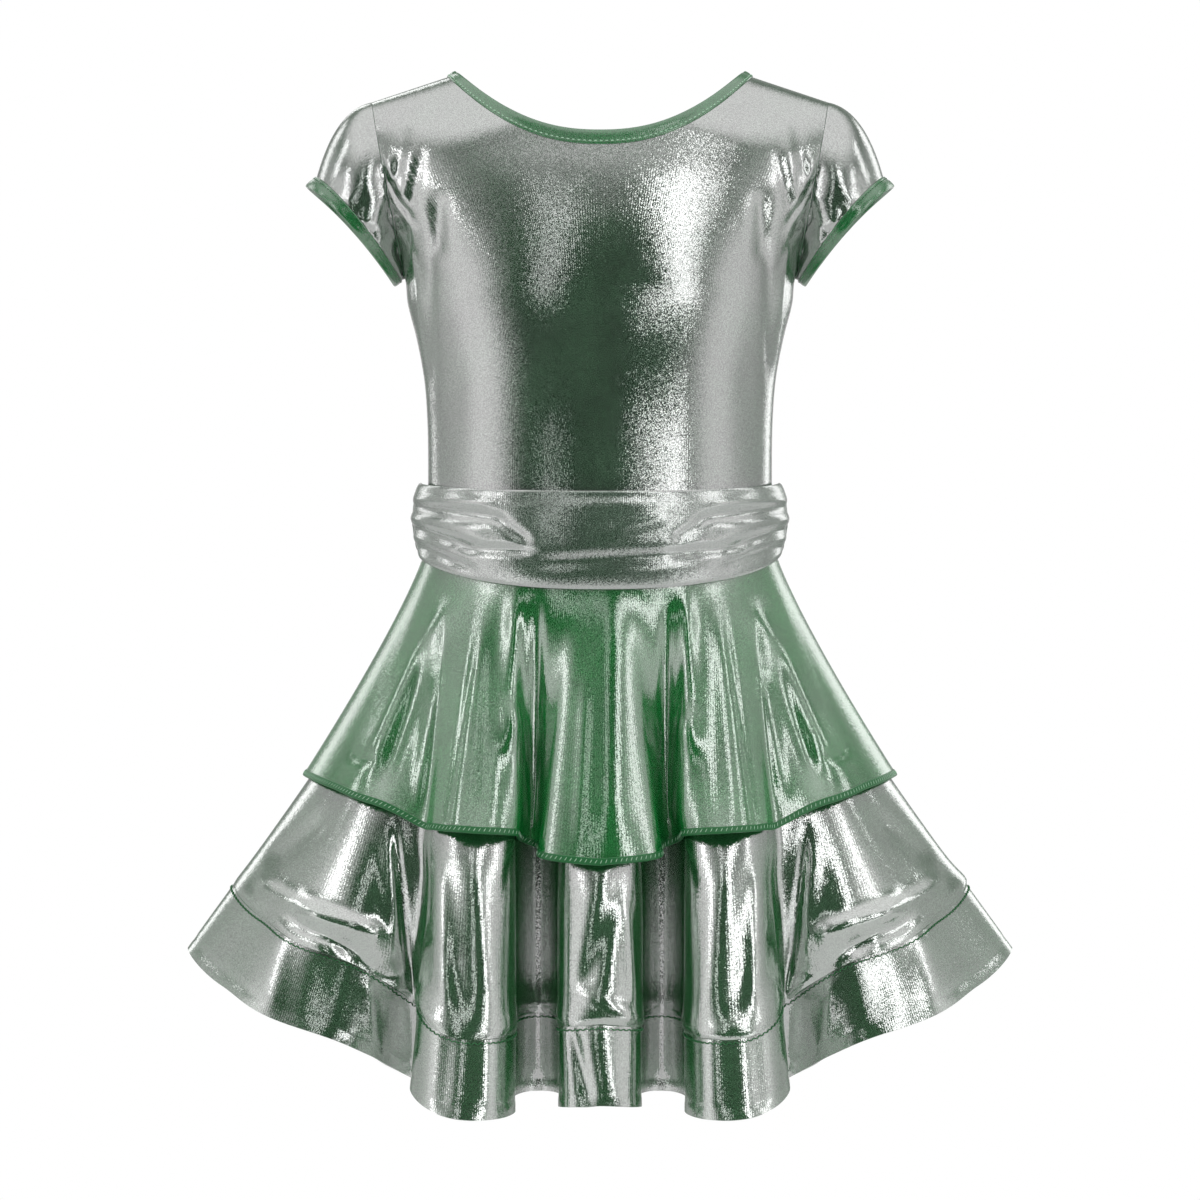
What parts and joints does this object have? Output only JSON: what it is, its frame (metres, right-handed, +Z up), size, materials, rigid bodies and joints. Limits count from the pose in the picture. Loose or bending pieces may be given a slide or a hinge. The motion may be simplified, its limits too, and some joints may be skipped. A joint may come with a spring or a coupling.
{
  "type": "latin dance dress",
  "caption": "Girl's short-sleeved dance dress in green-silver foil knit, with a bound scoop neck, cap sleeves, a gathered belt and a two-tier flared skirt with a stiffened hem.",
  "frame": {"origin": "midway between the two shoulders, level with the tops of the neck binding, where the wearer carries the dress", "axes": "+X the viewer's right, +Y towards the back, +Z up; the front faces -Y"},
  "size_m": [0.4686, 0.2918, 0.5831],
  "materials": {
    "foil_knit": "silver foil printed on a green stretch knit, glossy",
    "green_foil_knit": "the same foil knit where it shows more of its green, glossy",
    "binding": "green stretch binding, satin"
  },
  "bodies": {
    "root": {"bodice_front": "foil_knit", "bodice_back": "foil_knit", "sleeve_right": "foil_knit", "sleeve_left": "foil_knit", "neck_binding": "binding", "cuff_binding_right": "binding", "cuff_binding_left": "binding", "belt_front": "foil_knit", "belt_back": "foil_knit", "flounce_front": "green_foil_knit", "flounce_back": "green_foil_knit", "skirt_front": "foil_knit", "skirt_back": "foil_knit", "hem_band_front": "foil_knit", "hem_band_back": "foil_knit"}
  },
  "joints": []
}
